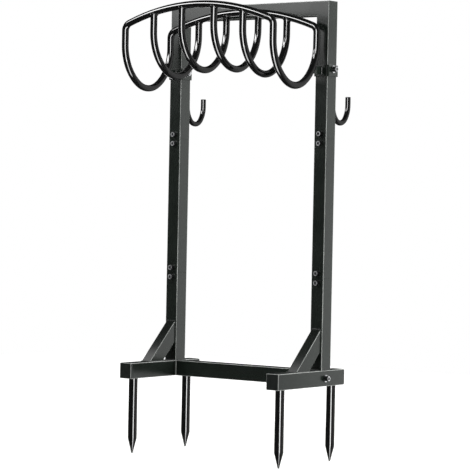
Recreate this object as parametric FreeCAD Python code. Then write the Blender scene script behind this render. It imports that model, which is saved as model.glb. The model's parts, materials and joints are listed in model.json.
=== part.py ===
import FreeCAD
import Part
import math
import os

# Freestanding hose holder: a bolted tube stand with a bent-rod hanger basket, two tool hooks
# and four ground spikes. X runs across the stand, -Y to the front and +Z up, in millimetres.
# The origin is the middle of the spike pattern, on the undersides of the feet.

# Stand: overall sizes
frame_height = 843.0
post_spacing = 405.0
post_setback = 53.0
foot_length = 252.0

# Stand: rectangular tube, narrow side across the stand
tube_narrow = 32.0
tube_wide = 35.0
tube_wall = 2.0
tube_corner = 1.8

# Stand: diagonal braces
brace_width = 25.0
brace_thickness = 34.0
brace_top = 125.0
brace_angle = 45.0

# Post joints: an inner spigot with one screw above and one below the joint
lower_joint_height = 236.5
upper_joint_height = 542.0
spigot_length = 120.0
spigot_gap = 0.25
spigot_wall = 2.0
joint_screw_pitch = 21.0
joint_edge = 0.3

# Foot end caps
cap_flange = 6.0
cap_skirt = 12.0
cap_wall = 2.0
cap_gap = 0.25
cap_edge = 1.2

# Crossbar ends
plug_length = 22.0
plug_gap = 0.25

# Ground spikes
spike_diameter = 20.0
spike_length = 169.0
spike_taper = 34.0
spike_tip = 3.0
spike_inset = 29.0
spike_stud = 10.0
spike_nut_size = 17.0
spike_nut_height = 8.0

# Hanger basket
hanger_rod = 15.5
arch_radius = 535.0
crown_drop = 15.0
rear_arch_drop = 5.0
arch_corner = 17.0
hanger_reach = 162.5
hanger_standoff = 21.0
basket_depth = 135.5
basket_floor_bend = 66.0
basket_side_bend = 98.0
inner_rib_spacing = 88.0
outer_rib_spacing = 78.0
weld_gap = 0.1

# Hanger fixing: saddles round the top legs, each with a tab to the end hoop and a cross bolt
saddle_drop = 152.5
saddle_height = 25.0
saddle_wall = 3.0
saddle_gap = 0.3
saddle_bolt_rise = 3.5
saddle_edge = 0.8
tab_height = 16.0
tab_thickness = 6.0

# Tool hooks and their back plates
hook_rod = 12.0
hook_reach = 88.5
hook_tip_drop = 205.0
hook_depth = 58.7
hook_floor_bend = 25.0
hook_side_bend = 48.0
hook_stem_rise = 13.0
hook_edge = 1.2
hook_plate_thickness = 4.0
hook_plate_width = 20.0
hook_plate_height = 44.0
hook_plate_margin = 6.0
hook_plate_corner = 3.0
hook_plate_edge = 0.8

# Socket-head screws, washers and hexagon nuts
screw = 8.0
screw_hole = 9.0
thread_gap = 0.1
head_diameter = 12.0
head_height = 8.0
head_edge = 0.8
socket_size = 6.0
socket_depth = 4.5
washer_diameter = 16.0
washer_thickness = 1.6
nut_size = 13.0
nut_height = 6.5
nut_turn_down = 30.0
screw_end = 2.0

# Edges whose heights differ by less than this lie on one rim
level_tolerance = 0.05

# Derived places
post_x = post_spacing / 2
foot_top = tube_wide
inner_narrow = tube_narrow - 2 * tube_wall
inner_wide = tube_wide - 2 * tube_wall
inner_corner = max(tube_corner - tube_wall, tube_wall / 4)
post_front = post_setback - tube_wide / 2
post_back = post_setback + tube_wide / 2
crossbar_y = post_front + tube_narrow / 2
crossbar_z = tube_wide / 2
spike_y = foot_length / 2 - spike_inset
rear_rod_y = post_front - hanger_standoff
front_rod_y = rear_rod_y - hanger_reach
saddle_centre = frame_height - saddle_drop
saddle_bolt_z = saddle_centre + saddle_bolt_rise
saddle_side = post_x + tube_narrow / 2 + saddle_gap + saddle_wall
saddle_front = post_front - saddle_gap - saddle_wall
hook_stem_y = post_back + hook_plate_thickness + hook_rod / 2
hook_prong_y = post_setback + hook_reach
rib_places = (
    -inner_rib_spacing / 2 - outer_rib_spacing,
    -inner_rib_spacing / 2,
    inner_rib_spacing / 2,
    inner_rib_spacing / 2 + outer_rib_spacing,
)
sides = (("left", -1), ("right", 1))

X = FreeCAD.Vector(1, 0, 0)
Y = FreeCAD.Vector(0, 1, 0)
Z = FreeCAD.Vector(0, 0, 1)


def vec(x, y, z):
    return FreeCAD.Vector(x, y, z)


def save(name, *solids):
    shape = solids[0] if len(solids) == 1 else Part.makeCompound(list(solids))
    shape.exportStep("parts/" + name + ".step")


def rounded_rectangle(width, depth, corner):
    """A wire in the XY plane, centred on the origin."""
    a, b, r = width / 2, depth / 2, corner
    k = r * (1 - math.sqrt(0.5))
    edges = []
    for sx, sy in ((1, 1), (-1, 1), (-1, -1), (1, -1)):
        ends = [vec(sx * a, sy * (b - r), 0), vec(sx * (a - r), sy * b, 0)]
        middle = vec(sx * (a - k), sy * (b - k), 0)
        if sx * sy < 0:
            ends.reverse()
        if edges:
            edges.append(Part.LineSegment(edges[-1].EndPoint, ends[0]))
        edges.append(Part.Arc(ends[0], middle, ends[1]))
    edges.append(Part.LineSegment(edges[-1].EndPoint, edges[0].StartPoint))
    return Part.Wire([edge.toShape() for edge in edges])


def bar(width, depth, corner, length):
    """A solid rounded bar standing on the XY plane."""
    return Part.Face(rounded_rectangle(width, depth, corner)).extrude(Z * length)


def rim(shape, height):
    """The edges of an upright shape that lie at one height."""
    low, high = height - level_tolerance, height + level_tolerance
    return [edge for edge in shape.Edges if edge.BoundBox.ZMin > low and edge.BoundBox.ZMax < high]


def tube(width, depth, wall, corner, length):
    """A hollow rounded tube standing on the XY plane."""
    outer = bar(width, depth, corner, length)
    return outer.cut(bar(width - 2 * wall, depth - 2 * wall, max(corner - wall, wall / 4), length))


def turned(shape, axis, degrees):
    return shape.rotated(vec(0, 0, 0), axis, degrees)


def along_x(shape):
    """Lays an upright shape along +X, with its X side turned to -Z."""
    return turned(shape, Y, 90)


def along_y(shape):
    """Lays an upright shape along +Y, with its Y side turned to -Z."""
    return turned(shape, X, -90)


def rod(diameter, path):
    """A round rod along a path of tangent lines and arcs, one length for each."""
    lengths = []
    for edge in path:
        start = edge.value(edge.FirstParameter)
        heading = edge.tangent(edge.FirstParameter)[0]
        disc = Part.Face(Part.Wire(Part.makeCircle(diameter / 2, start, heading)))
        if isinstance(edge, Part.LineSegment):
            lengths.append(disc.extrude(edge.EndPoint - edge.StartPoint))
        else:
            sweep = math.degrees(edge.LastParameter - edge.FirstParameter)
            circle = edge.toShape().Curve
            lengths.append(disc.revolve(circle.Center, circle.Axis, sweep))
    return lengths[0].fuse(lengths[1:])


def u_path(x, first, last, low, floor_bend, side_bend):
    """A U in one X plane: leg, side bend, floor bend, side bend, leg. First and last are leg tops."""
    half = (last.y - first.y) / 2
    middle = (last.y + first.y) / 2
    turn = math.asin((side_bend - half) / (side_bend - floor_bend))
    leg_foot = floor_bend * (1 - math.cos(turn)) + side_bend * math.cos(turn)

    def bend_points(direction):
        between = (turn + math.pi / 2) / 2
        places = (
            (half, leg_foot),
            (half - side_bend * (1 - math.sin(between)), leg_foot - side_bend * math.cos(between)),
            (floor_bend * math.sin(turn), floor_bend * (1 - math.cos(turn))),
        )
        return [vec(x, middle + direction * across, low + rise) for across, rise in places]

    down, up = bend_points(-1), bend_points(1)
    return [
        Part.LineSegment(first, down[0]),
        Part.Arc(*down),
        Part.Arc(down[2], vec(x, middle, low), up[2]),
        Part.Arc(*reversed(up)),
        Part.LineSegment(up[0], last),
    ]


def socket_screw(length):
    """A socket-head screw along Z, its head's underside on the XY plane and its shank below."""
    head = Part.makeCylinder(head_diameter / 2, head_height)
    head = head.makeChamfer(head_edge, rim(head, head_height))
    socket = hexagon(socket_size, socket_depth).translated(Z * (head_height - socket_depth))
    shank = Part.makeCylinder(screw / 2, length, vec(0, 0, -length))
    return head.cut(socket).fuse(shank).removeSplitter()


def hexagon(across_flats, height):
    radius = across_flats / math.sqrt(3)
    points = [vec(radius * math.cos(a), radius * math.sin(a), 0) for a in
              (math.radians(60 * i) for i in range(6))]
    return Part.Face(Part.makePolygon(points + points[:1])).extrude(Z * height)


def revolved(outline):
    """A solid turned about Z from a closed outline of (radius, height) points."""
    points = [vec(radius, 0, height) for radius, height in outline]
    return Part.Face(Part.makePolygon(points + points[:1])).revolve(vec(0, 0, 0), Z, 360)


def nut(across_flats, height, thread):
    """A hexagon nut standing on the XY plane, its corners turned down at both ends."""
    flat = across_flats / 2
    corner = across_flats / math.sqrt(3)
    turn_down = (corner - flat) * math.tan(math.radians(nut_turn_down))
    blank = revolved([(0, 0), (flat, 0), (corner, turn_down), (corner, height - turn_down),
                      (flat, height), (0, height)])
    bore = Part.makeCylinder(thread / 2 + thread_gap, height)
    return hexagon(across_flats, height).common(blank).cut(bore)


def washer():
    """A flat washer standing on the XY plane."""
    return Part.makeCylinder(washer_diameter / 2, washer_thickness).cut(
        Part.makeCylinder(screw_hole / 2, washer_thickness))


def facing(shape, direction):
    """Turns a shape that points along +Z to point along another direction."""
    piece = shape.copy()
    piece.Placement = FreeCAD.Placement(vec(0, 0, 0), FreeCAD.Rotation(Z, direction))
    return piece


def hole(diameter, start, direction, depth):
    return Part.makeCylinder(diameter / 2, depth, start, direction)


# Post joints

def joint_screw_heights(joint_height):
    return (joint_height - joint_screw_pitch / 2, joint_height + joint_screw_pitch / 2)


def joint_holes(shape, joint_height):
    """Cuts the screw holes of one joint in the front walls, for both posts' X places."""
    for height in joint_screw_heights(joint_height):
        for _, side in sides:
            start = vec(side * post_x, post_front - tube_wall, height)
            shape = shape.cut(hole(screw_hole, start, Y, tube_wide / 2))
    return shape


def post_tube(side, bottom, top, joints):
    """One length of a post, its outer edges broken at the joint heights."""
    outer = bar(tube_narrow, tube_wide, tube_corner, top - bottom)
    for joint_height in joints:
        outer = outer.makeChamfer(joint_edge, rim(outer, joint_height - bottom))
    piece = outer.cut(bar(inner_narrow, inner_wide, inner_corner, top - bottom))
    return piece.translated(vec(side * post_x, post_setback, bottom))


def make_posts():
    for name, side in sides:
        base = post_tube(side, foot_top, lower_joint_height, [lower_joint_height])
        save(name + "_base_post", joint_holes(base, lower_joint_height))
        middle = post_tube(side, lower_joint_height, upper_joint_height,
                           [lower_joint_height, upper_joint_height])
        middle = joint_holes(middle, lower_joint_height)
        save(name + "_middle_post", joint_holes(middle, upper_joint_height))


def make_spigots():
    nuts = []
    screws = []
    grip = tube_wall + spigot_gap + spigot_wall
    for level, joint_height in (("lower", lower_joint_height), ("upper", upper_joint_height)):
        for name, side in sides:
            piece = tube(inner_narrow - 2 * spigot_gap, inner_wide - 2 * spigot_gap, spigot_wall,
                         inner_corner, spigot_length)
            bottom = joint_height - spigot_length / 2
            piece = piece.translated(vec(side * post_x, post_setback, bottom))
            save(name + "_" + level + "_spigot", joint_holes(piece, joint_height))
            for height in joint_screw_heights(joint_height):
                seat = vec(side * post_x, post_front + grip, height)
                nuts.append(facing(nut(nut_size, nut_height, screw), Y).translated(seat))
                screw_seat = vec(side * post_x, post_front, height)
                length = grip + nut_height + screw_end
                screws.append(facing(socket_screw(length), -Y).translated(screw_seat))
    save("spigot_weld_nuts", *nuts)
    save("post_joint_screws", *screws)


# Top frame

def mitre_keep(side, upper):
    """A prism on one side of the 45 degree mitre plane at a top corner."""
    outer = post_x + tube_narrow / 2
    inner = post_x - tube_narrow / 2
    overrun = frame_height
    top = frame_height
    corner = vec(side * outer, 0, top)
    heel = vec(side * inner, 0, top - tube_narrow)
    diagonal = (corner - heel).normalize() * overrun
    third = vec(side * (outer + overrun), 0, top - overrun)
    if upper:
        third = vec(side * (inner - overrun), 0, top + overrun)
    triangle = Part.makePolygon([heel - diagonal, corner + diagonal, third, heel - diagonal])
    prism = Part.Face(triangle).extrude(Y * 2 * tube_wide)
    return prism.translated(Y * (post_setback - tube_wide))


def make_top_frame():
    length = post_spacing + tube_narrow
    rail = along_x(tube(tube_narrow, tube_wide, tube_wall, tube_corner, length))
    rail = rail.translated(vec(-length / 2, post_setback, frame_height - tube_narrow / 2))
    for name, side in sides:
        rail = rail.cut(mitre_keep(side, upper=False))
        leg = post_tube(side, upper_joint_height, frame_height, [upper_joint_height])
        leg = leg.cut(mitre_keep(side, upper=True))
        leg = joint_holes(leg, upper_joint_height)
        bolt_start = vec(side * (post_x + tube_narrow), post_setback, saddle_bolt_z)
        leg = leg.cut(hole(screw_hole, bolt_start, X * -side, 2 * tube_narrow))
        save(name + "_top_leg", leg)
    save("top_rail", rail)


# Base

def make_feet():
    caps = []
    spike_nuts = []
    tube_length = foot_length - 2 * cap_flange
    for name, side in sides:
        foot = along_y(tube(tube_narrow, tube_wide, tube_wall, tube_corner, tube_length))
        foot = foot.translated(vec(side * post_x, -tube_length / 2, tube_wide / 2))
        bolt_start = vec(side * (post_x + tube_narrow), crossbar_y, crossbar_z)
        foot = foot.cut(hole(screw_hole, bolt_start, X * -side, 2 * tube_narrow))
        for end in (-1, 1):
            place = vec(side * post_x, end * spike_y, 0)
            foot = foot.cut(hole(spike_stud + 2 * thread_gap, place, Z, 2 * tube_wall))
            seat = place + Z * tube_wall
            spike_nuts.append(nut(spike_nut_size, spike_nut_height, spike_stud).translated(seat))
            cap = facing(end_cap(), Y * end)
            caps.append(cap.translated(vec(side * post_x, end * tube_length / 2, tube_wide / 2)))
        save(name + "_foot", foot)
    save("foot_end_caps", *caps)
    save("spike_weld_nuts", *spike_nuts)


def end_cap():
    """A plastic tube cap along Z: flange above the XY plane, hollow skirt below it."""
    flange = bar(tube_narrow, tube_wide, tube_corner, cap_flange)
    flange = flange.makeFillet(cap_edge, rim(flange, cap_flange))
    skirt = tube(inner_narrow - 2 * cap_gap, inner_wide - 2 * cap_gap, cap_wall, inner_corner, cap_skirt)
    return flange.fuse(skirt.translated(Z * -cap_skirt)).removeSplitter()


def make_crossbar():
    length = post_spacing - tube_narrow
    bar_tube = along_x(tube(tube_wide, tube_narrow, tube_wall, tube_corner, length))
    save("crossbar", bar_tube.translated(vec(-length / 2, crossbar_y, crossbar_z)))
    plugs = []
    screws = []
    washers = []
    for _, side in sides:
        outward = X * side
        plug = bar(inner_wide - 2 * plug_gap, inner_narrow - 2 * plug_gap, inner_corner, plug_length)
        plug = plug.cut(Part.makeCylinder(screw / 2 + thread_gap, plug_length))
        plug = along_x(plug).translated(X * (-plug_length / 2))
        plug_x = side * (length / 2 - plug_length / 2)
        plugs.append(plug.translated(vec(plug_x, crossbar_y, crossbar_z)))
        face = vec(side * (post_x + tube_narrow / 2), crossbar_y, crossbar_z)
        washers.append(facing(washer(), outward).translated(face))
        shank = washer_thickness + tube_narrow + plug_length - screw_end
        seat = face + outward * washer_thickness
        screws.append(facing(socket_screw(shank), outward).translated(seat))
    save("crossbar_threaded_plugs", *plugs)
    save("crossbar_screws", *screws)
    save("crossbar_washers", *washers)


def make_braces():
    lean = math.radians(brace_angle)
    middle_drop = brace_thickness / 2 / math.sin(lean)
    length = 2 * brace_top / math.cos(lean)
    for name, side in sides:
        piece = tube(brace_width, brace_thickness, tube_wall, tube_corner, length)
        piece = turned(piece.translated(Z * (-length / 2)), X, -brace_angle)
        piece = piece.translated(vec(side * post_x, post_front, brace_top - middle_drop))
        left = side * post_x - brace_width
        below = Part.makeBox(2 * brace_width, 2 * length, length, vec(left, -length, foot_top - length))
        behind = Part.makeBox(2 * brace_width, length, 2 * length, vec(left, post_front, -length))
        save(name + "_brace", piece.cut(below).cut(behind))


def make_spikes():
    radius = spike_diameter / 2
    stud_top = tube_wall + spike_nut_height + screw_end
    spike = revolved([
        (0, stud_top),
        (spike_stud / 2, stud_top),
        (spike_stud / 2, 0),
        (radius, 0),
        (radius, spike_taper - spike_length),
        (spike_tip / 2, -spike_length),
        (0, -spike_length),
    ])
    for name, side in sides:
        for end_name, end in (("front", -1), ("rear", 1)):
            place = vec(side * post_x, end * spike_y, 0)
            save(name + "_" + end_name + "_spike", spike.translated(place))


# Hanger basket

def crown_height(rear):
    return frame_height - crown_drop - (rear_arch_drop if rear else 0)


def arch_height(x, rear):
    return crown_height(rear) - arch_radius + math.sqrt(arch_radius ** 2 - x ** 2)


def corner_centre(rear):
    """Height of the bend that turns the arch's end down into the end hoop."""
    run = post_x - arch_corner
    return crown_height(rear) - arch_radius + math.sqrt((arch_radius - arch_corner) ** 2 - run ** 2)


def arch_rod(rear, diameter):
    y = rear_rod_y if rear else front_rod_y
    centre = crown_height(rear) - arch_radius
    bend_z = corner_centre(rear)
    bend_x = post_x - arch_corner
    tilt = math.atan2(bend_z - centre, bend_x)

    def on_bend(side, angle):
        across = bend_x + arch_corner * math.cos(angle)
        return vec(side * across, y, bend_z + arch_corner * math.sin(angle))

    def corner(side):
        return [on_bend(side, 0), on_bend(side, tilt / 2), on_bend(side, tilt)]

    left, right = corner(-1), corner(1)
    path = [
        Part.Arc(*left),
        Part.Arc(left[2], vec(0, y, crown_height(rear)), right[2]),
        Part.Arc(*reversed(right)),
    ]
    return rod(diameter, path)


def basket_rod(x, front_top, rear_top, diameter):
    """One U of the basket, its lowest point the same depth below the front arch everywhere."""
    low = arch_height(x, rear=False) - basket_depth
    front = vec(x, front_rod_y, front_top)
    rear = vec(x, rear_rod_y, rear_top)
    return rod(diameter, u_path(x, front, rear, low, basket_floor_bend, basket_side_bend))


def end_hoop(side, diameter):
    return basket_rod(side * post_x, corner_centre(False), corner_centre(True), diameter)


def make_hanger():
    save("hanger_front_arch", arch_rod(False, hanger_rod))
    save("hanger_rear_arch", arch_rod(True, hanger_rod))
    notches = [arch_rod(rear, hanger_rod + 2 * weld_gap) for rear in (False, True)]
    for number, x in enumerate(rib_places, 1):
        rib = basket_rod(x, arch_height(x, False), arch_height(x, True), hanger_rod)
        for notch in notches:
            rib = rib.cut(notch)
        save("hanger_rib_%d" % number, max(rib.Solids, key=lambda solid: solid.Volume))
    for name, side in sides:
        save(name + "_end_hoop", end_hoop(side, hanger_rod))


def saddle(side):
    """A U of plate that wraps a top leg from the front, with its cheeks level with the back."""
    width = tube_narrow + 2 * saddle_gap
    depth = tube_wide + saddle_gap
    corner = tube_corner + saddle_gap
    overrun = 2 * (corner + saddle_wall)
    length = depth + saddle_wall + overrun
    outer = bar(width + 2 * saddle_wall, length, corner + saddle_wall, saddle_height)
    outer = outer.makeFillet(saddle_edge, rim(outer, 0) + rim(outer, saddle_height))
    inner = bar(width, depth + overrun, corner, saddle_height).translated(Y * (saddle_wall / 2))
    back_edge = length / 2 - overrun
    behind = Part.makeBox(2 * width, 2 * depth, saddle_height, vec(-width, back_edge, 0))
    place = vec(side * post_x, post_back - back_edge, saddle_centre - saddle_height / 2)
    piece = outer.cut(inner).cut(behind).translated(place)
    bolt_start = vec(side * (post_x + tube_narrow), post_setback, saddle_bolt_z)
    return piece.cut(hole(screw_hole, bolt_start, X * -side, 2 * tube_narrow))


def saddle_tab(side, hoop):
    """The plate that joins a saddle's front to the end hoop, coped to the rod."""
    reach = (front_rod_y + rear_rod_y) / 2
    blank = Part.makeBox(tab_thickness, saddle_front - reach, tab_height,
                         vec(side * post_x - tab_thickness / 2, reach, saddle_centre - tab_height / 2))
    return max(blank.cut(hoop).Solids, key=lambda solid: solid.CenterOfMass.y)


def make_hanger_fixings():
    bolts = []
    washers = []
    nuts = []
    for name, side in sides:
        save(name + "_saddle", saddle(side))
        hoop = end_hoop(side, hanger_rod + 2 * weld_gap)
        save(name + "_saddle_tab", saddle_tab(side, hoop))
        outward = X * side
        outer_face = vec(side * saddle_side, post_setback, saddle_bolt_z)
        inner_face = outer_face - outward * (2 * (saddle_side - post_x))
        washers.append(facing(washer(), outward).translated(outer_face))
        washers.append(facing(washer(), -outward).translated(inner_face))
        nut_seat = inner_face - outward * washer_thickness
        nuts.append(facing(nut(nut_size, nut_height, screw), -outward).translated(nut_seat))
        head_seat = outer_face + outward * washer_thickness
        shank = 2 * (saddle_side - post_x + washer_thickness) + nut_height + screw_end
        bolts.append(facing(socket_screw(shank), outward).translated(head_seat))
    save("saddle_bolts", *bolts)
    save("saddle_washers", *washers)
    save("saddle_nuts", *nuts)


# Tool hooks

def make_hooks():
    tip = frame_height - hook_tip_drop
    stem_top = tip + hook_stem_rise
    plate_bottom = stem_top + hook_plate_margin - hook_plate_height
    for name, side in sides:
        x = side * post_x
        stem = vec(x, hook_stem_y, stem_top)
        prong = vec(x, hook_prong_y, tip)
        hook = rod(hook_rod, u_path(x, stem, prong, tip - hook_depth, hook_floor_bend, hook_side_bend))
        save(name + "_tool_hook", hook.makeFillet(hook_edge, rim(hook, tip) + rim(hook, stem_top)))
        plate = bar(hook_plate_width, hook_plate_height, hook_plate_corner, hook_plate_thickness)
        plate = plate.makeFillet(hook_plate_edge, rim(plate, hook_plate_thickness))
        middle = vec(x, post_back, plate_bottom + hook_plate_height / 2)
        save(name + "_hook_plate", along_y(plate).translated(middle))


os.makedirs("parts", exist_ok=True)
make_posts()
make_spigots()
make_top_frame()
make_feet()
make_crossbar()
make_braces()
make_spikes()
make_hanger()
make_hanger_fixings()
make_hooks()
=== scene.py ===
"""Looks of a freestanding hose holder: coated tube stand, bent-rod hanger basket and ground spikes."""

import json
import math

import bpy
from bpy.props import FloatProperty, FloatVectorProperty, IntProperty, PointerProperty
from mathutils import Matrix, Vector

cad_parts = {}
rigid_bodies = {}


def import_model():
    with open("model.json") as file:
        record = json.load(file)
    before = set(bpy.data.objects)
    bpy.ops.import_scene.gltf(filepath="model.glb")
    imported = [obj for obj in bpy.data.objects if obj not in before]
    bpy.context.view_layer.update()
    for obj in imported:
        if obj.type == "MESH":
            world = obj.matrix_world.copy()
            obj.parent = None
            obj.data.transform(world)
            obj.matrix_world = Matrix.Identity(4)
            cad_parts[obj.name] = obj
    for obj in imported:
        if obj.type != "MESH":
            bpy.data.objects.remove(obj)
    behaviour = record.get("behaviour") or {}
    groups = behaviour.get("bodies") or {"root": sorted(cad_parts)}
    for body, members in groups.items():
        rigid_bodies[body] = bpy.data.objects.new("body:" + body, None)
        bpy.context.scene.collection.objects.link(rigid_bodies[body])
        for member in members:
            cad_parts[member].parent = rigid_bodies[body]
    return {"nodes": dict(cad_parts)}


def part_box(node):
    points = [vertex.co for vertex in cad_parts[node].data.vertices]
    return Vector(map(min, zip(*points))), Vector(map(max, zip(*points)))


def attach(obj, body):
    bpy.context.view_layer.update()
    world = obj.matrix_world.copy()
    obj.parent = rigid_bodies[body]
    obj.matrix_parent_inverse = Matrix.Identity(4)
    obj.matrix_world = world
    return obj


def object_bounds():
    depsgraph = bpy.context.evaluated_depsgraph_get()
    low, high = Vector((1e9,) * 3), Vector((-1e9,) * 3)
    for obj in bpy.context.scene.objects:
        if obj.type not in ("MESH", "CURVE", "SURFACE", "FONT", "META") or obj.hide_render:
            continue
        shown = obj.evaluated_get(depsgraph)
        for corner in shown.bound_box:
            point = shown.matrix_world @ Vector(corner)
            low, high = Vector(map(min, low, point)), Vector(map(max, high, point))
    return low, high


bl_info = {
    "name": "Hose holder",
    "version": (1, 0, 0),
    "blender": (4, 5, 0),
    "location": "3D View > Sidebar > Hose Holder",
    "description": "Finishes, weld beads and studio of a freestanding hose holder",
    "category": "Object",
}

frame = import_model()
cad_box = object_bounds()

MM = 0.001
SIDES = ("left", "right")
POSTS = ("_base_post", "_middle_post", "_top_leg")
ARCHES = ("hanger_front_arch", "hanger_rear_arch")
RIBS = [f"hanger_rib_{number}" for number in range(1, 5)]

# A vertex nearer than the first to a plane lies on it, and one further than the second stands clear of it
TOUCH = 0.01 * MM
CLEAR = 0.5 * MM

# Most of a noise texture's values lie in this range
NOISE_RANGE = {"From Min": 0.3, "From Max": 0.7}

# The width of the highlight painted along a tube's cut end, and of its fade into the plain coat
CUT_EDGE = 3 * MM
CUT_FADE = 1 * MM

# A weld bead's radius between two ripples and at its ends, as shares of its full radius
BEAD_WAIST = 0.86
BEAD_TIP = 0.55

# The share of a softbox's side over which its light fades out towards an edge
SOFT_EDGE = 0.15


def linear(code):
    """The linear colour, with alpha, of an sRGB hex code."""
    shares = [int(code[i:i + 2], 16) / 255 for i in (1, 3, 5)]
    return [s / 12.92 if s <= 0.04045 else ((s + 0.055) / 1.055) ** 2.4 for s in shares] + [1.0]


class HolderFinish(bpy.types.PropertyGroup):
    """Colours and gloss of the holder's finishes."""

    tube_colour: FloatVectorProperty(
        name="Tube Coat", description="Colour of the stand's powder coat",
        subtype="COLOR", size=4, default=linear("#1c221e"))
    # Painted highlight: this light grey is painted along the tubes' and caps' corners and the crossbar's
    # cut ends
    corner_highlight_colour: FloatVectorProperty(
        name="Tube Corners", description="Colour of the coat where it is thin on the tubes' corners",
        subtype="COLOR", size=4, default=linear("#c2c5c2"))
    tube_roughness: FloatProperty(
        name="Tube Roughness", description="Mean roughness of the stand's satin coat",
        subtype="FACTOR", min=0, max=1, default=0.22)
    rod_colour: FloatVectorProperty(
        name="Rod Coat", description="Colour of the gloss coat on hanger and hooks",
        subtype="COLOR", size=4, default=linear("#090a0a"))
    rod_roughness: FloatProperty(
        name="Rod Roughness", description="Mean roughness of the rods' gloss coat",
        subtype="FACTOR", min=0, max=1, default=0.1)
    spike_colour: FloatVectorProperty(
        name="Spike Enamel", description="Colour of the enamel on the ground spikes",
        subtype="COLOR", size=4, default=linear("#0b0c0c"))
    cap_colour: FloatVectorProperty(
        name="End Cap", description="Colour of the moulded foot caps",
        subtype="COLOR", size=4, default=linear("#1f2321"))
    screw_colour: FloatVectorProperty(
        name="Screws", description="Colour of the blackened screws, nuts and washers",
        subtype="COLOR", size=4, default=linear("#4a4b4d"))
    screw_worn_colour: FloatVectorProperty(
        name="Screws, Worn", description="Colour of the steel where the screws' black has rubbed off",
        subtype="COLOR", size=4, default=linear("#b9babb"))
    steel_colour: FloatVectorProperty(
        name="Inner Steel", description="Colour of the plated steel inside the tubes",
        subtype="COLOR", size=4, default=linear("#b4b5b2"))


class HolderWelds(bpy.types.PropertyGroup):
    """Sizes of the weld beads, and of the rods that they lie on."""

    tube_bead: FloatProperty(
        name="Tube Bead", description="Radius of the beads on the tube stand",
        unit="LENGTH", precision=4, default=1.7 * MM)
    rod_bead: FloatProperty(
        name="Rod Bead", description="Radius of the beads on rods and hook plates",
        unit="LENGTH", precision=4, default=1.4 * MM)
    pitch: FloatProperty(
        name="Ripple", description="Distance from one ripple of a bead to the next",
        unit="LENGTH", precision=4, default=1.5 * MM)
    roundness: IntProperty(
        name="Roundness", description="Steps that round off a bead's section", default=2)
    rod_radius: FloatProperty(
        name="Hanger Rod", description="Radius of the hanger's rod",
        unit="LENGTH", precision=4, default=7.75 * MM)
    arch_radius: FloatProperty(
        name="Arch", description="Bend radius of the hanger's arches",
        unit="LENGTH", default=535 * MM)


class HolderStudio(bpy.types.PropertyGroup):
    """Camera and floor."""

    camera_azimuth: FloatProperty(
        name="Azimuth", description="Camera's turn to the right of the front",
        subtype="ANGLE", default=math.radians(36.65))
    camera_elevation: FloatProperty(
        name="Elevation", description="Camera's height angle above the horizon",
        subtype="ANGLE", default=math.radians(0.78))
    camera_roll: FloatProperty(
        name="Roll", description="Camera's turn about its own axis",
        subtype="ANGLE", default=math.radians(1.13))
    camera_place: FloatVectorProperty(
        name="Place", description="Where the camera stands",
        subtype="TRANSLATION", unit="LENGTH", default=(2.91914, -3.92031, 0.39301))
    camera_lens: FloatProperty(
        name="Lens", description="Focal length on a 36 mm sensor, in millimetres",
        default=168.05)
    floor_size: FloatProperty(
        name="Floor", description="Side of the square floor",
        unit="LENGTH", default=5.0)
    floor_colour: FloatVectorProperty(
        name="Floor Colour", description="Colour of the pale floor",
        subtype="COLOR", size=4, default=linear("#e8e8e6"))


class HolderSettings(bpy.types.PropertyGroup):
    """All the settings of the holder."""

    finish: PointerProperty(type=HolderFinish)
    welds: PointerProperty(type=HolderWelds)
    studio: PointerProperty(type=HolderStudio)


def add_node(tree, kind, inputs=None, **settings):
    """Adds a node with its settings, and fills its inputs, by name or number, with values or other nodes'
    outputs. A Mix node's two values are its inputs 2 and 3, and its two colours 6 and 7."""
    node = tree.nodes.new(kind)
    for name, value in settings.items():
        setattr(node, name, value)
    for name, value in (inputs or {}).items():
        if isinstance(value, bpy.types.NodeSocket):
            tree.links.new(value, node.inputs[name])
        else:
            node.inputs[name].default_value = value
    return node


def new_material(name):
    """An empty node material, with its tree and its output's surface socket."""
    material = bpy.data.materials.new(name)
    material.use_nodes = True
    material.node_tree.nodes.clear()
    output = add_node(material.node_tree, "ShaderNodeOutputMaterial")
    return material, material.node_tree, output.inputs["Surface"]


def per_metre(size_mm):
    """The texture scale at which one cell of a pattern has this size."""
    return 1 / (size_mm * MM)


def finish_node(name, material):
    """Gives one CAD node its finish."""
    frame["nodes"][name].material_slots[0].material = material


def finish_slot(slot, material):
    """Gives every CAD node of a record's slot its finish."""
    for name, node in frame["nodes"].items():
        if node.data.materials[0].name == slot:
            finish_node(name, material)


# The mask of the painted corner highlight
def corner_share(tree, lean=0.0, upright=False):
    """How far a surface faces between a tube's flat sides: 0 on the flats, 1 on a corner's middle. The
    sides lean about X by an angle. On an upright tube only the corners along it count."""
    normal = add_node(tree, "ShaderNodeTexCoord").outputs["Normal"]
    if upright:
        level = add_node(tree, "ShaderNodeVectorMath", {0: normal, 1: (1, 1, 0)}, operation="MULTIPLY")
        normal = add_node(tree, "ShaderNodeVectorMath", {0: level.outputs["Vector"]},
                          operation="NORMALIZE").outputs["Vector"]
    if lean:
        normal = add_node(tree, "ShaderNodeVectorRotate", {"Vector": normal, "Angle": lean},
                          rotation_type="X_AXIS").outputs["Vector"]
    size = add_node(tree, "ShaderNodeVectorMath", {0: normal}, operation="ABSOLUTE")
    part = add_node(tree, "ShaderNodeSeparateXYZ", {0: size.outputs["Vector"]}).outputs
    wider = add_node(tree, "ShaderNodeMath", {0: part["X"], 1: part["Y"]}, operation="MAXIMUM")
    widest = add_node(tree, "ShaderNodeMath", {0: wider.outputs[0], 1: part["Z"]}, operation="MAXIMUM")
    # The range runs from 8 degrees off a flat to 31 degrees off it
    share = add_node(tree, "ShaderNodeMapRange", {
        "Value": widest.outputs[0], "From Min": 0.99, "From Max": 0.86}, interpolation_type="SMOOTHSTEP")
    return share.outputs["Result"]


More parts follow.
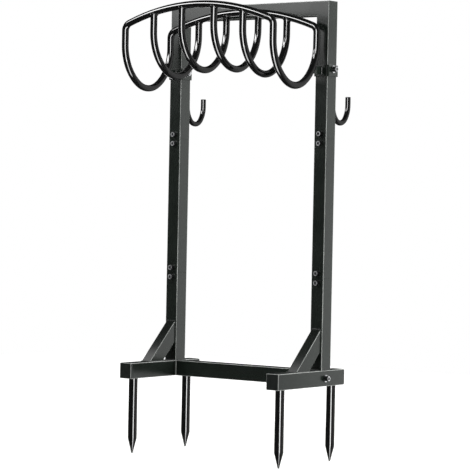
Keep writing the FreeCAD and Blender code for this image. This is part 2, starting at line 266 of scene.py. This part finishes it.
def satin_powder_coat(finish, name, lean=0.0, upright=False, rubbed=1.0, end=None):
    """Satin polyester powder, baked on tube: a soft, faintly cloudy gloss over a slight orange peel, with a
    light highlight painted on its corners, scaled by rubbed, and on the cut ends of a tube from x = -end to
    x = end."""
    material, tree, surface = new_material(name)
    place = add_node(tree, "ShaderNodeTexCoord").outputs["Object"]
    cloud = add_node(tree, "ShaderNodeTexNoise", {
        "Vector": place, "Scale": per_metre(60), "Detail": 4.0}).outputs["Fac"]
    # The peel is drawn at twice its real 2.5 mm, so that it shows at the render's size
    peel = add_node(tree, "ShaderNodeTexNoise", {"Vector": place, "Scale": per_metre(5), "Detail": 2.0})
    gloss = add_node(tree, "ShaderNodeMapRange", {
        "Value": cloud, **NOISE_RANGE,
        "To Min": finish.tube_roughness - 0.04, "To Max": finish.tube_roughness + 0.04})
    shade = add_node(tree, "ShaderNodeMapRange", {
        "Value": cloud, **NOISE_RANGE, "To Min": 0.85, "To Max": 1.15})
    coat = add_node(tree, "ShaderNodeVectorMath", {
        0: finish.tube_colour[:3], "Scale": shade.outputs["Result"]}, operation="SCALE")
    # Painted highlight along the corners, in patches that follow the cloud noise; rubbed scales its
    # strength
    highlight_patches = add_node(tree, "ShaderNodeMapRange", {
        "Value": cloud, "From Min": 0.35, "From Max": 0.65, "To Min": 0.55 * rubbed, "To Max": rubbed})
    highlit = add_node(tree, "ShaderNodeMath", {
        0: corner_share(tree, lean, upright), 1: highlight_patches.outputs["Result"]}, operation="MULTIPLY")
    if end:
        along = add_node(tree, "ShaderNodeSeparateXYZ", {0: place}).outputs["X"]
        reach = add_node(tree, "ShaderNodeMath", {0: along}, operation="ABSOLUTE")
        # Painted highlight along the tube's two cut ends
        cut = add_node(tree, "ShaderNodeMapRange", {
            "Value": reach.outputs[0], "From Min": end - CUT_EDGE, "From Max": end - CUT_EDGE + CUT_FADE})
        highlit = add_node(tree, "ShaderNodeMath", {
            0: highlit.outputs[0], 1: cut.outputs["Result"]}, operation="MAXIMUM")
    # Where the highlight is painted, the coat is mixed towards the light corner colour
    colour = add_node(tree, "ShaderNodeMix", {
        "Factor": highlit.outputs[0], 6: coat.outputs["Vector"], 7: finish.corner_highlight_colour},
        data_type="RGBA")
    bump = add_node(tree, "ShaderNodeBump", {
        "Height": peel.outputs["Fac"], "Strength": 0.22, "Distance": 0.1 * MM})
    shader = add_node(tree, "ShaderNodeBsdfPrincipled", {
        "Base Color": colour.outputs[2], "Roughness": gloss.outputs["Result"], "IOR": 1.5,
        "Normal": bump.outputs["Normal"]})
    tree.links.new(shader.outputs["BSDF"], surface)
    return material


def gloss_powder_coat(finish):
    """Gloss black powder on bent rod: deep black under a wet, almost mirror-like skin."""
    material, tree, surface = new_material("Gloss powder coat")
    place = add_node(tree, "ShaderNodeTexCoord").outputs["Object"]
    flow = add_node(tree, "ShaderNodeTexNoise", {"Vector": place, "Scale": per_metre(18), "Detail": 2.0})
    gloss = add_node(tree, "ShaderNodeMapRange", {
        "Value": flow.outputs["Fac"], **NOISE_RANGE,
        "To Min": finish.rod_roughness - 0.03, "To Max": finish.rod_roughness + 0.03})
    # A powder coat's IOR is about 1.5, and it is raised here to match the bright lines on the real rods
    shader = add_node(tree, "ShaderNodeBsdfPrincipled", {
        "Base Color": finish.rod_colour, "Roughness": gloss.outputs["Result"], "IOR": 1.8})
    tree.links.new(shader.outputs["BSDF"], surface)
    return material


def spike_enamel(finish):
    """Dipped gloss enamel over turned bar: black, with faint runs down the spike."""
    material, tree, surface = new_material("Gloss enamel")
    place = add_node(tree, "ShaderNodeTexCoord").outputs["Object"]
    drawn = add_node(tree, "ShaderNodeMapping", {"Vector": place, "Scale": (1, 1, 0.12)})
    runs = add_node(tree, "ShaderNodeTexNoise", {
        "Vector": drawn.outputs["Vector"], "Scale": per_metre(6), "Detail": 2.0})
    gloss = add_node(tree, "ShaderNodeMapRange", {
        "Value": runs.outputs["Fac"], **NOISE_RANGE, "To Min": 0.1, "To Max": 0.16})
    # Enamel's IOR is about 1.5, and it is raised here to match the bright lines on the real spikes
    shader = add_node(tree, "ShaderNodeBsdfPrincipled", {
        "Base Color": finish.spike_colour, "Roughness": gloss.outputs["Result"], "IOR": 1.7})
    tree.links.new(shader.outputs["BSDF"], surface)
    return material


def moulded_nylon(finish):
    """Injection-moulded black nylon with a spark-eroded, finely pitted skin, and a highlight painted on its
    edges.
    """
    material, tree, surface = new_material("Moulded nylon")
    place = add_node(tree, "ShaderNodeTexCoord").outputs["Object"]
    # The pits are drawn at four times their real 0.5 mm, so that they show at the render's size
    pits = add_node(tree, "ShaderNodeTexVoronoi", {"Vector": place, "Scale": per_metre(2)})
    # Painted highlight: the caps' edges are mixed towards the light corner colour
    colour = add_node(tree, "ShaderNodeMix", {
        "Factor": corner_share(tree), 6: finish.cap_colour, 7: finish.corner_highlight_colour},
        data_type="RGBA")
    bump = add_node(tree, "ShaderNodeBump", {
        "Height": pits.outputs["Distance"], "Strength": 0.2, "Distance": 0.1 * MM})
    shader = add_node(tree, "ShaderNodeBsdfPrincipled", {
        "Base Color": colour.outputs[2], "Roughness": 0.3, "IOR": 1.53, "Normal": bump.outputs["Normal"]})
    tree.links.new(shader.outputs["BSDF"], surface)
    return material


def black_oxide_steel(finish):
    """Black-oxide steel: a dark oiled metal, mottled where the black has rubbed off."""
    material, tree, surface = new_material("Black oxide steel")
    place = add_node(tree, "ShaderNodeTexCoord").outputs["Object"]
    mottle = add_node(tree, "ShaderNodeTexNoise", {
        "Vector": place, "Scale": per_metre(3), "Detail": 3.0}).outputs["Fac"]
    gloss = add_node(tree, "ShaderNodeMapRange", {
        "Value": mottle, **NOISE_RANGE, "To Min": 0.42, "To Max": 0.26})
    worn = add_node(tree, "ShaderNodeMapRange", {"Value": mottle, **NOISE_RANGE})
    colour = add_node(tree, "ShaderNodeMix", {
        "Factor": worn.outputs["Result"], 6: finish.screw_colour, 7: finish.screw_worn_colour},
        data_type="RGBA")
    shader = add_node(tree, "ShaderNodeBsdfPrincipled", {
        "Base Color": colour.outputs[2], "Metallic": 1.0, "Roughness": gloss.outputs["Result"]})
    tree.links.new(shader.outputs["BSDF"], surface)
    return material


def zinc_plated_steel(finish):
    """Zinc-plated steel of the inner pieces: pale, with a fine crystalline spangle."""
    material, tree, surface = new_material("Zinc plated steel")
    place = add_node(tree, "ShaderNodeTexCoord").outputs["Object"]
    spangle = add_node(tree, "ShaderNodeTexVoronoi", {"Vector": place, "Scale": per_metre(4)})
    gloss = add_node(tree, "ShaderNodeMapRange", {
        "Value": spangle.outputs["Distance"], "From Max": 0.8, "To Min": 0.3, "To Max": 0.45})
    shader = add_node(tree, "ShaderNodeBsdfPrincipled", {
        "Base Color": finish.steel_colour, "Metallic": 1.0, "Roughness": gloss.outputs["Result"]})
    tree.links.new(shader.outputs["BSDF"], surface)
    return material


class HOLDER_OT_tubes(bpy.types.Operator):
    """Coat the posts, rail, feet, crossbar, braces and saddles"""

    bl_idname = "holder.tubes"
    bl_label = "Tube Stand"

    def execute(self, context):
        finish = context.scene.hose_holder.finish
        finish_slot("tube_paint", satin_powder_coat(finish, "Satin powder coat"))
        leaning = satin_powder_coat(finish, "Satin powder coat, leaning", lean=math.radians(45))
        upright = satin_powder_coat(finish, "Satin powder coat, upright", upright=True)
        # This coat, on the saddles and weld beads, has no painted corner highlight
        even = satin_powder_coat(finish, "Satin powder coat, even", rubbed=0.0)
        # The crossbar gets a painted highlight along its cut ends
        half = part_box("crossbar")[1].x
        finish_node("crossbar", satin_powder_coat(finish, "Satin powder coat, cut ends", end=half))
        for side in SIDES:
            finish_node(side + "_saddle", even)
            finish_node(side + "_brace", leaning)
            for post in POSTS:
                finish_node(side + post, upright)
        return {"FINISHED"}


class HOLDER_OT_rods(bpy.types.Operator):
    """Coat the hanger basket and the tool hooks"""

    bl_idname = "holder.rods"
    bl_label = "Hanger and Hooks"

    def execute(self, context):
        finish_slot("rod_paint", gloss_powder_coat(context.scene.hose_holder.finish))
        return {"FINISHED"}


class HOLDER_OT_spikes(bpy.types.Operator):
    """Enamel the ground spikes"""

    bl_idname = "holder.spikes"
    bl_label = "Ground Spikes"

    def execute(self, context):
        finish_slot("spike_paint", spike_enamel(context.scene.hose_holder.finish))
        return {"FINISHED"}


class HOLDER_OT_caps(bpy.types.Operator):
    """Give the foot caps their moulded skin"""

    bl_idname = "holder.caps"
    bl_label = "Foot Caps"

    def execute(self, context):
        finish_slot("cap_plastic", moulded_nylon(context.scene.hose_holder.finish))
        return {"FINISHED"}


class HOLDER_OT_fasteners(bpy.types.Operator):
    """Finish the screws, nuts and washers, and the steel inside the tubes"""

    bl_idname = "holder.fasteners"
    bl_label = "Fasteners and Inner Steel"

    def execute(self, context):
        finish = context.scene.hose_holder.finish
        finish_slot("black_fastener", black_oxide_steel(finish))
        finish_slot("bare_steel", zinc_plated_steel(finish))
        return {"FINISHED"}


def rippled(route, pitch):
    """Points along straight runs between a route's points, half a ripple apart, with each one's share of
    the bead's radius: full and waisted by turns, and slim at the two ends."""
    points = [Vector(route[0])]
    for start, end in zip(route, route[1:]):
        run = Vector(end) - Vector(start)
        steps = max(1, round(2 * run.length / pitch))
        points += [Vector(start) + run * step / steps for step in range(1, steps + 1)]
    shares = [1.0 if i % 2 else BEAD_WAIST for i in range(len(points))]
    shares[0] = shares[-1] = BEAD_TIP
    return points, shares


def weld(name, material, radius, welds, routes):
    """One piece of rippled weld beads, one bead along each route."""
    bpy.ops.object.select_all(action="DESELECT")
    curve = bpy.data.curves.new(name, "CURVE")
    curve.dimensions = "3D"
    curve.bevel_depth = radius
    curve.bevel_resolution = welds.roundness
    curve.use_fill_caps = True
    for route in routes:
        points, shares = rippled(route, welds.pitch)
        spline = curve.splines.new("POLY")
        spline.points.add(len(points) - 1)
        for target, point, share in zip(spline.points, points, shares):
            target.co = (*point, 1)
            target.radius = share
    piece = bpy.data.objects.new(name, curve)
    bpy.context.collection.objects.link(piece)
    piece.select_set(True)
    bpy.context.view_layer.objects.active = piece
    bpy.ops.object.convert(target="MESH")
    piece = bpy.context.object
    bpy.ops.object.shade_smooth()
    piece.data.materials.clear()
    piece.data.materials.append(material)
    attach(piece, "root")


def brace_routes():
    """Round three sides of each brace's ends, on the post's front and on the foot's top."""
    routes = []
    for side in SIDES:
        low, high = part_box(side + "_brace")
        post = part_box(side + "_base_post")[0].y
        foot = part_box(side + "_foot")[1].z
        mesh = frame["nodes"][side + "_brace"].data
        under = min(v.co.z for v in mesh.vertices if v.co.y > post - TOUCH)
        rear = max(v.co.y for v in mesh.vertices if v.co.z < foot + TOUCH)
        routes.append([(low.x, post, under), (low.x, post, high.z), (high.x, post, high.z),
                       (high.x, post, under)])
        routes.append([(low.x, rear, foot), (low.x, low.y, foot), (high.x, low.y, foot),
                       (high.x, rear, foot)])
    return routes


def post_routes(inset):
    """Across the front and the back of each post's foot."""
    routes = []
    for side in SIDES:
        low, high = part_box(side + "_base_post")
        for y in (low.y, high.y):
            routes.append([(low.x + inset, y, low.z), (high.x - inset, y, low.z)])
    return routes


def rib_routes(welds):
    """Both sides of each rib's coped ends, where they meet the undersides of the arches. A bead goes round
    the rib from 72 degrees in front of its side to 72 degrees behind it."""
    routes = []
    # A bead's middle line lies a third of the bead's radius outside the rod
    reach = welds.rod_radius + welds.rod_bead / 3
    turns = [math.radians(angle) for angle in range(-72, 73, 6)]
    for name in RIBS:
        low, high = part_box(name)
        middle = (low.x + high.x) / 2
        for arch in ARCHES:
            arch_low, arch_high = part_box(arch)
            y = (arch_low.y + arch_high.y) / 2
            crown = arch_high.z - welds.rod_radius
            for way in (-1, 1):
                route = []
                for turn in turns:
                    x = middle + way * reach * math.cos(turn)
                    axis = crown - welds.arch_radius + math.sqrt(welds.arch_radius ** 2 - x ** 2)
                    route.append((x, y + reach * math.sin(turn), axis - reach * math.cos(turn)))
                routes.append(route)
    return routes


def tab_routes():
    """Along both sides of each saddle tab, on the saddle's front and on the hoop's rod."""
    routes = []
    for side in SIDES:
        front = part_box(side + "_saddle")[0].y
        mesh = frame["nodes"][side + "_saddle_tab"].data
        low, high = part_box(side + "_saddle_tab")
        for x in (low.x, high.x):
            edge = [v.co for v in mesh.vertices if abs(v.co.x - x) < TOUCH]
            cope = {(round(p.y, 5), round(p.z, 5)) for p in edge if p.y < front - CLEAR}
            routes.append([(x, y, z) for y, z in sorted(cope, key=lambda point: point[1])])
            routes.append([(x, front, low.z), (x, front, high.z)])
    return routes


def hook_routes(welds):
    """Along both sides of each hook's stem on its plate, and of each plate on the post."""
    routes = []
    inset = 2 * welds.rod_bead
    for side in SIDES:
        low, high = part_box(side + "_hook_plate")
        hook_low, hook_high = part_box(side + "_tool_hook")
        middle = (low.x + high.x) / 2
        stem = (hook_high.x - hook_low.x) / 2
        # A stem's bead lies in the corner between the round stem and the plate
        corner = 0.7 * stem
        y = high.y + 0.6 * welds.rod_bead
        for way in (-1, 1):
            x = middle + way * corner
            routes.append([(x, y, low.z + inset), (x, y, hook_high.z - inset)])
            x = middle + way * (high.x - low.x) / 2
            routes.append([(x, low.y, low.z + 2 * inset), (x, low.y, high.z - 2 * inset)])
    return routes


class HOLDER_OT_welds(bpy.types.Operator):
    """Lay the weld beads of the stand, the hanger and the hooks"""

    bl_idname = "holder.welds"
    bl_label = "Weld Beads"

    def execute(self, context):
        welds = context.scene.hose_holder.welds
        satin = bpy.data.materials["Satin powder coat, even"]
        gloss = bpy.data.materials["Gloss powder coat"]
        weld("brace_welds", satin, welds.tube_bead, welds, brace_routes())
        weld("post_welds", satin, welds.tube_bead, welds, post_routes(welds.tube_bead))
        weld("rib_welds", gloss, welds.rod_bead, welds, rib_routes(welds))
        weld("tab_welds", gloss, welds.rod_bead, welds, tab_routes())
        weld("hook_welds", gloss, welds.rod_bead, welds, hook_routes(welds))
        return {"FINISHED"}


def seen_directly(tree):
    """1 for rays from the camera or through glass, and 0 for the rest."""
    path = add_node(tree, "ShaderNodeLightPath").outputs
    seen = add_node(tree, "ShaderNodeMath", {0: path["Is Camera Ray"], 1: path["Is Transmission Ray"]},
                    operation="MAXIMUM")
    return seen.outputs[0]


def white_world(scene):
    """White to the camera and through glass. Gloss sees a pale backdrop behind on the right and a dim room
    elsewhere, and matt surfaces get a low, even light."""
    world = bpy.data.worlds.new("White studio")
    scene.world = world
    world.use_nodes = True
    tree = world.node_tree
    tree.nodes.clear()
    glossy = add_node(tree, "ShaderNodeLightPath").outputs["Is Glossy Ray"]
    way = add_node(tree, "ShaderNodeTexCoord").outputs["Generated"]
    toward = add_node(tree, "ShaderNodeVectorMath", {0: way, 1: (0.6, 0.8, 0)}, operation="DOT_PRODUCT")
    backdrop = add_node(tree, "ShaderNodeMapRange", {
        "Value": toward.outputs["Value"], "From Min": 0.4, "From Max": 0.98, "To Min": 0.06, "To Max": 0.4},
        interpolation_type="SMOOTHSTEP")
    mirrored = add_node(tree, "ShaderNodeMix", {
        "Factor": glossy, 2: 0.25, 3: backdrop.outputs["Result"]})
    strength = add_node(tree, "ShaderNodeMix", {
        "Factor": seen_directly(tree), 2: mirrored.outputs[0], 3: 1.0})
    background = add_node(tree, "ShaderNodeBackground", {
        "Color": (1, 1, 1, 1), "Strength": strength.outputs[0]})
    output = add_node(tree, "ShaderNodeOutputWorld")
    tree.links.new(background.outputs[0], output.inputs["Surface"])


def pale_floor(studio):
    """A matt pale floor that lightens to the backdrop's white away from the holder."""
    material, tree, surface = new_material("Pale studio floor")
    place = add_node(tree, "ShaderNodeTexCoord").outputs["Object"]
    away = add_node(tree, "ShaderNodeVectorMath", {0: place}, operation="LENGTH")
    glow = add_node(tree, "ShaderNodeMapRange", {
        "Value": away.outputs["Value"], "From Min": 0.3, "From Max": 2.0, "To Min": 0.45, "To Max": 0.95},
        interpolation_type="SMOOTHSTEP")
    lift = add_node(tree, "ShaderNodeMath", {
        0: seen_directly(tree), 1: glow.outputs["Result"]}, operation="MULTIPLY")
    diffuse = add_node(tree, "ShaderNodeBsdfDiffuse", {"Color": studio.floor_colour})
    shine = add_node(tree, "ShaderNodeEmission", {"Strength": lift.outputs[0]})
    both = add_node(tree, "ShaderNodeAddShader", {0: diffuse.outputs[0], 1: shine.outputs[0]})
    tree.links.new(both.outputs[0], surface)
    return material


def add_floor(studio):
    """The floor, level with the spikes' tips and not mirrored in the gloss."""
    bpy.ops.object.select_all(action="DESELECT")
    bpy.ops.mesh.primitive_plane_add(size=studio.floor_size, location=(0, 0, cad_box[0].z))
    floor = bpy.context.object
    floor.name = "floor"
    floor.visible_glossy = False
    floor.data.materials.append(pale_floor(studio))


def direction(azimuth, elevation):
    """The unit vector at an azimuth, to the right of the front, and an elevation, both in radians."""
    level = math.cos(elevation)
    return Vector((math.sin(azimuth) * level, -math.cos(azimuth) * level, math.sin(elevation)))


def soft_edges(lamp):
    """Fades a lamp's radiance towards its four edges, as a softbox's cloth does."""
    lamp.use_nodes = True
    tree = lamp.node_tree
    tree.nodes.clear()
    across = add_node(tree, "ShaderNodeNewGeometry").outputs["Parametric"]
    part = add_node(tree, "ShaderNodeSeparateXYZ", {0: across}).outputs
    sides = [add_node(tree, "ShaderNodeMath", {0: part[axis], 1: 0.5}, operation="PINGPONG").outputs[0]
             for axis in "XY"]
    edge = add_node(tree, "ShaderNodeMath", {0: sides[0], 1: sides[1]}, operation="MINIMUM")
    fade = add_node(tree, "ShaderNodeMapRange", {"Value": edge.outputs[0], "From Max": SOFT_EDGE},
                    interpolation_type="SMOOTHSTEP")
    glow = add_node(tree, "ShaderNodeEmission", {"Strength": fade.outputs["Result"]})
    output = add_node(tree, "ShaderNodeOutputLight")
    tree.links.new(glow.outputs[0], output.inputs["Surface"])


def softbox(name, toward, distance, size, radiance, aim, coat=None, matt=True, gloss=True):
    """A rectangular lamp with soft edges, unseen by the camera. It stands toward an azimuth and elevation,
    in degrees, at a distance from its aim. One with a coat's name shows only in the gloss of that coat.
    The others light all but the gloss coats, on matt surfaces, in gloss or in both."""
    away = direction(*(math.radians(angle) for angle in toward))
    width, height = size
    bpy.ops.object.light_add(type="AREA", location=aim + away * distance,
                             rotation=away.to_track_quat("Z", "Y").to_euler())
    lamp = bpy.context.object
    lamp.name = name
    lamp.data.shape = "RECTANGLE"
    lamp.data.size = width
    lamp.data.size_y = height
    lamp.data.energy = radiance * math.pi * width * height
    lamp.visible_camera = False
    lamp.visible_diffuse = matt and coat is None
    lamp.visible_glossy = gloss
    soft_edges(lamp.data)
    lit = bpy.data.collections.new(name + " pieces")
    for piece in bpy.data.objects:
        if piece.type == "MESH" and piece.active_material:
            finish = piece.active_material.name
            wanted = finish == coat if coat else not finish.startswith("Gloss")
            if wanted:
                lit.objects.link(piece)
    lamp.light_linking.receiver_collection = lit
    return lamp


def brace_lamps(key):
    """Keeps the braces out of the key lamp and gives each its own, which ends part way up the brace's
    sloping top, so that the top darkens towards the post."""
    width = 0.13
    for side, lit_share in zip(SIDES, (0.86, 1.0)):
        key.light_linking.receiver_collection.objects.unlink(frame["nodes"][side + "_brace"])
        low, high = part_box(side + "_brace")
        edge = high.y + lit_share * (low.y - high.y)
        aim = Vector(((low.x + high.x) / 2, edge - width * (1 - SOFT_EDGE) / 2, 0.08))
        softbox(side + " brace softbox", (-89, 53), 0.19, (width, 0.3), 2.05, aim,
                "Satin powder coat, leaning")


def studio_lamps():
    """Soft light for the whole stand, then the lines and sheens of single coats."""
    hanger = Vector((0, -0.07, 0.8))
    middle = Vector((0, 0, 0.4))
    rods, spikes, screws = "Gloss powder coat", "Gloss enamel", "Black oxide steel"
    key = softbox("key softbox", (-42, 18), 1.3, (1.3, 1.3), 3.8, Vector((0, -0.02, 1.02)))
    softbox("rear softbox", (155, 40), 1.9, (1.5, 1.5), 3.0, middle)
    softbox("overhead softbox", (0, 85), 1.2, (1.4, 1.4), 2.5, hanger, gloss=False)
    softbox("right fill", (115, 8), 2.4, (2.2, 2.2), 5.0, middle, gloss=False)
    softbox("side softbox", (143, 0), 1.6, (0.9, 1.5), 0.75, Vector((-0.168, 0.125, 0.26)), matt=False)
    softbox("left softbox", (-96, 4), 1.6, (1.5, 1.9), 0.6, middle, matt=False)
    softbox("front softbox", (6, 4), 1.8, (1.3, 1.9), 0.8, middle, matt=False)
    softbox("arch softbox", (-40, 23), 1.25, (0.9, 0.42), 14, hanger, rods)
    softbox("bend softbox", (-4, 31), 1.25, (0.6, 0.45), 12, hanger, rods)
    softbox("rod softbox", (26, 0), 1.3, (0.6, 1.55), 12, Vector((0, 0, 0.62)), rods)
    softbox("floor softbox", (29, -48), 0.85, (0.45, 0.75), 8, Vector((0, -0.1, 0.72)), rods)
    softbox("rear rod softbox", (-130, 5), 1.6, (1.0, 1.7), 2, middle, rods)
    softbox("spike softbox", (53, -6), 2.0, (0.8, 0.7), 15, Vector((0, 0, -0.08)), spikes)
    softbox("spike tip softbox", (53, -42), 1.5, (0.6, 0.8), 12, Vector((0, 0, -0.15)), spikes)
    softbox("rear spike softbox", (-130, 0), 0.6, (0.45, 0.27), 2, Vector((0, 0, -0.03)), spikes)
    brace_lamps(key)
    softbox("rear screw softbox", (143, 0), 1.5, (1.4, 2.2), 1.3, middle, screws)
    softbox("screw softbox", (-37, 0), 1.5, (1.4, 2.2), 0.7, middle, screws)


def add_camera(studio):
    """A camera with the photograph's angle and lens."""
    bpy.ops.object.camera_add(location=studio.camera_place)
    camera = bpy.context.object
    back = direction(studio.camera_azimuth, studio.camera_elevation)
    right = Vector((math.cos(studio.camera_azimuth), math.sin(studio.camera_azimuth), 0))
    level = Matrix((right, back.cross(right), back)).transposed()
    camera.rotation_euler = (Matrix.Rotation(studio.camera_roll, 3, back) @ level).to_euler()
    camera.data.lens = studio.camera_lens
    camera.data.sensor_width = 36
    camera.data.clip_end = 50
    return camera


class HOLDER_OT_stage(bpy.types.Operator):
    """Set up the white studio, its floor, lamps and camera"""

    bl_idname = "holder.stage"
    bl_label = "Stage"

    def execute(self, context):
        scene = context.scene
        studio = scene.hose_holder.studio
        scene.view_settings.view_transform = "Standard"
        white_world(scene)
        add_floor(studio)
        studio_lamps()
        scene.camera = add_camera(studio)
        return {"FINISHED"}


class HOLDER_PT_panel(bpy.types.Panel):
    """The holder's pieces and settings"""

    bl_label = "Hose Holder"
    bl_space_type = "VIEW_3D"
    bl_region_type = "UI"
    bl_category = "Hose Holder"

    def draw(self, context):
        settings = context.scene.hose_holder
        for operator in operators:
            self.layout.operator(operator.bl_idname)
        for group in (settings.finish, settings.welds, settings.studio):
            box = self.layout.box()
            for name in group.bl_rna.properties.keys():
                if name not in {"rna_type", "name"}:
                    box.prop(group, name)


operators = (HOLDER_OT_tubes, HOLDER_OT_rods, HOLDER_OT_spikes, HOLDER_OT_caps, HOLDER_OT_fasteners,
             HOLDER_OT_welds, HOLDER_OT_stage)
classes = (HolderFinish, HolderWelds, HolderStudio, HolderSettings, *operators, HOLDER_PT_panel)


def register():
    for cls in classes:
        bpy.utils.register_class(cls)
    bpy.types.Scene.hose_holder = PointerProperty(type=HolderSettings)


def unregister():
    del bpy.types.Scene.hose_holder
    for cls in reversed(classes):
        bpy.utils.unregister_class(cls)


def main():
    register()
    bpy.ops.holder.tubes()
    bpy.ops.holder.rods()
    bpy.ops.holder.spikes()
    bpy.ops.holder.caps()
    bpy.ops.holder.fasteners()
    bpy.ops.holder.welds()
    bpy.ops.holder.stage()


if __name__ == "__main__":
    main()
